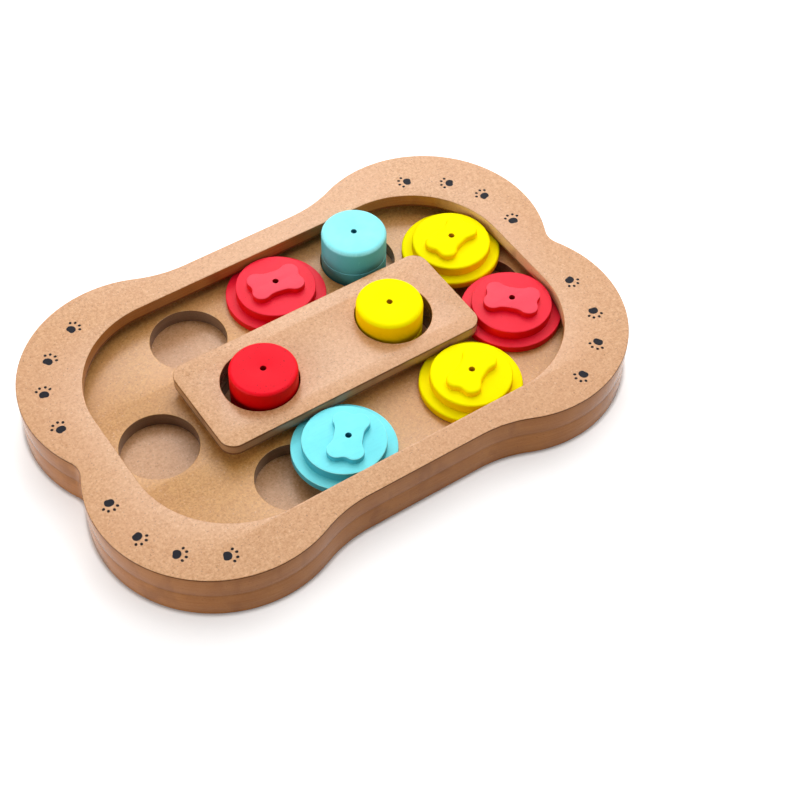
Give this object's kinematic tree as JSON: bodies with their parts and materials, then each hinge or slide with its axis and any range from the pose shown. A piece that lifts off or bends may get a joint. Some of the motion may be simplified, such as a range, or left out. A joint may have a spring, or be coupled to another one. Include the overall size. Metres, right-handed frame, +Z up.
{
  "type": "dog puzzle feeder",
  "caption": "Bone-shaped wooden treat puzzle for dogs with a ring track, sliding round lids and lift-out hollow cups over treat pockets.",
  "frame": {"origin": "middle of the board's footprint, on the table", "axes": "+X along the board's length, +Y across it, +Z up"},
  "size_m": [0.2994, 0.1986, 0.038],
  "materials": {
    "raw_board": "clear-lacquered fibreboard",
    "spacer_board": "clear-lacquered fibreboard, cut edge",
    "red_paint": "satin paint on fibreboard",
    "yellow_paint": "satin paint on fibreboard",
    "blue_paint": "satin paint on fibreboard"
  },
  "bodies": {
    "board": {"floor_panel": "raw_board", "pocket_board": "raw_board", "frame_board": "raw_board", "bar_spacer": "spacer_board", "bar_plate": "raw_board"},
    "red_back_lid": {"red_back_flange": "red_paint", "red_back_disc": "red_paint", "red_back_grip": "red_paint"},
    "yellow_corner_lid": {"yellow_corner_flange": "yellow_paint", "yellow_corner_disc": "yellow_paint", "yellow_corner_grip": "yellow_paint"},
    "red_end_lid": {"red_end_flange": "red_paint", "red_end_disc": "red_paint", "red_end_grip": "red_paint"},
    "yellow_front_lid": {"yellow_front_flange": "yellow_paint", "yellow_front_disc": "yellow_paint", "yellow_front_grip": "yellow_paint"},
    "blue_front_lid": {"blue_front_flange": "blue_paint", "blue_front_disc": "blue_paint", "blue_front_grip": "blue_paint"},
    "red_cup": {"red_cup_ring": "red_paint", "red_cup_cap": "red_paint"},
    "yellow_cup": {"yellow_cup_ring": "yellow_paint", "yellow_cup_cap": "yellow_paint"},
    "blue_cup": {"blue_cup_ring": "blue_paint", "blue_cup_cap": "blue_paint"}
  },
  "joints": [
    {"name": "red_back_slide", "type": "slide", "parent": "board", "child": "red_back_lid", "axis": [1, 0, 0], "range_m": [-0.0685, 0.0045]},
    {"name": "yellow_corner_swing", "type": "hinge", "parent": "board", "child": "yellow_corner_lid", "pos_m": [0.068, 0.022, 0.0197], "axis": [0, 0, 1], "range_deg": [0, 20]},
    {"name": "red_end_spin", "type": "hinge", "parent": "board", "child": "red_end_lid", "pos_m": [0.09826, -0.0243, 0.0197], "axis": [0, 0, 1], "continuous": true},
    {"name": "yellow_front_slide", "type": "slide", "parent": "board", "child": "yellow_front_lid", "axis": [1, 0, 0], "range_m": [-0.022, 0]},
    {"name": "blue_front_slide", "type": "slide", "parent": "board", "child": "blue_front_lid", "axis": [1, 0, 0], "range_m": [-0.044, 0]},
    {"name": "red_cup_lift", "type": "slide", "parent": "board", "child": "red_cup", "axis": [0, 0, 1], "range_m": [0, 0.045]},
    {"name": "yellow_cup_lift", "type": "slide", "parent": "board", "child": "yellow_cup", "axis": [0, 0, 1], "range_m": [0, 0.045]},
    {"name": "blue_cup_lift", "type": "slide", "parent": "board", "child": "blue_cup", "axis": [0, 0, 1], "range_m": [0, 0.045]}
  ]
}
